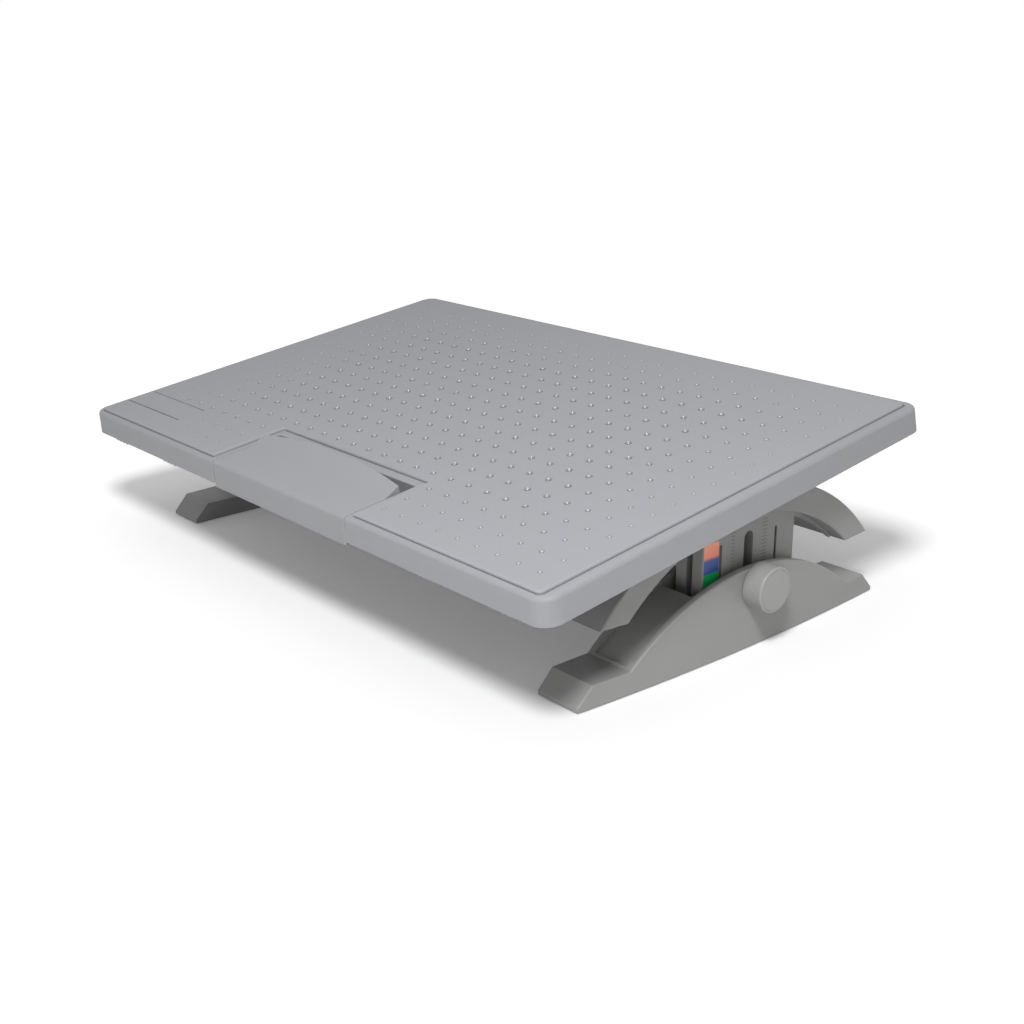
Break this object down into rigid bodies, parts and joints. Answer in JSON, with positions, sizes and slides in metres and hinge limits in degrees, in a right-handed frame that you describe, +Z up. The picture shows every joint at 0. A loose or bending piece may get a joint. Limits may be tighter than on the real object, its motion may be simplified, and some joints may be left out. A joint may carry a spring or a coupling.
{
  "type": "tilting footrest",
  "caption": "Under-desk footrest: a tilting, textured platform with a foot-operated tilt release, on two height-adjustable arched side supports",
  "frame": {"origin": "middle of the footprint at floor level", "axes": "+Z up, +Y to the back (raised edge), X across the platform, +X at the side of the visible knob"},
  "size_m": [0.564, 0.3648, 0.1495],
  "materials": {
    "shell_plastic": "light grey moulded plastic, fine grain, satin",
    "mat_plastic": "light grey tread surface with low domes",
    "support_plastic": "warm grey moulded plastic, satin",
    "knob_plastic": "grey moulded plastic, smooth",
    "label_film": "printed film in three plain bands",
    "steel": "zinc plated steel",
    "lining": "friction lining, matt",
    "bearing_plastic": "natural bearing plastic",
    "pad_rubber": "black rubber"
  },
  "bodies": {
    "towers": {"tower_right": "support_plastic", "tower_left": "support_plastic", "height_label_right": "label_film", "height_label_left": "label_film", "tilt_axle": "steel", "axle_screws": "steel"},
    "platform": {"platform_shell": "shell_plastic", "tread_mat": "mat_plastic", "pedal_pin": "steel", "pedal_springs": "steel", "lock_housing": "support_plastic", "lock_lining_upper": "lining", "jaw_pin": "steel", "lock_bolt": "steel", "lock_nut": "steel", "lock_spring": "steel", "housing_screws": "steel", "bracket_screws": "steel", "axle_bracket_right": "support_plastic", "axle_bracket_left": "support_plastic", "axle_bush_right": "bearing_plastic", "axle_bush_left": "bearing_plastic"},
    "pedal": {"release_pedal": "shell_plastic"},
    "rod": {"pull_rod": "steel"},
    "jaw": {"lock_jaw": "support_plastic", "lock_lining_lower": "lining"},
    "foot_right_body": {"foot_right": "support_plastic", "foot_pads_right": "pad_rubber", "clamp_bolt_right": "steel", "clamp_plate_right": "steel"},
    "washer_right_body": {"friction_washer_right": "steel"},
    "knob_right_body": {"height_knob_right": "knob_plastic", "knob_cap_right": "knob_plastic"},
    "foot_left_body": {"foot_left": "support_plastic", "foot_pads_left": "pad_rubber", "clamp_bolt_left": "steel", "clamp_plate_left": "steel"},
    "washer_left_body": {"friction_washer_left": "steel"},
    "knob_left_body": {"height_knob_left": "knob_plastic", "knob_cap_left": "knob_plastic"}
  },
  "joints": [
    {"name": "platform_tilt", "type": "hinge", "parent": "towers", "child": "platform", "pos_m": [0, 0.02307, 0.1045], "axis": [1, 0, 0], "range_deg": [-22.93, 7.07]},
    {"name": "pedal_press", "type": "hinge", "parent": "platform", "child": "pedal", "pos_m": [0, -0.17185, 0.09148], "axis": [1, 0, 0], "range_deg": [-8, 0], "stiffness_Nm_per_rad": 1.2, "springref_deg": 17.19, "deforming": ["pedal_springs"]},
    {"name": "rod_pull", "type": "slide", "parent": "platform", "child": "rod", "axis": [0, -0.9977, -0.0682], "range_m": [0, 0.0013]},
    {"name": "jaw_open", "type": "hinge", "parent": "platform", "child": "jaw", "pos_m": [0, 0.00561, 0.10661], "axis": [1, 0, 0], "range_deg": [-6.1, 0], "deforming": ["lock_spring"]},
    {"name": "right_height", "type": "slide", "parent": "towers", "child": "foot_right_body", "axis": [0, 0, -1], "range_m": [-0.03, 0.005]},
    {"name": "right_clamp_screw", "type": "slide", "parent": "foot_right_body", "child": "washer_right_body", "axis": [1, 0, 0], "range_m": [0, 0.00126]},
    {"name": "right_knob_turn", "type": "hinge", "parent": "washer_right_body", "child": "knob_right_body", "pos_m": [0.2674, 0.03307, 0.0453], "axis": [1, 0, 0], "range_deg": [0, 360]},
    {"name": "left_height", "type": "slide", "parent": "towers", "child": "foot_left_body", "axis": [0, 0, -1], "range_m": [-0.03, 0.005]},
    {"name": "left_clamp_screw", "type": "slide", "parent": "foot_left_body", "child": "washer_left_body", "axis": [-1, 0, 0], "range_m": [0, 0.00126]},
    {"name": "left_knob_turn", "type": "hinge", "parent": "washer_left_body", "child": "knob_left_body", "pos_m": [-0.2674, 0.03307, 0.0453], "axis": [-1, 0, 0], "range_deg": [0, 360]}
  ],
  "couplings": [
    {"joint": "rod_pull", "follows": "pedal_press", "m_per_rad": -0.009},
    {"joint": "jaw_open", "follows": "pedal_press", "ratio": 0.75},
    {"joint": "right_clamp_screw", "follows": "right_knob_turn", "m_per_rad": 0.00019894},
    {"joint": "left_clamp_screw", "follows": "left_knob_turn", "m_per_rad": 0.00019894}
  ]
}
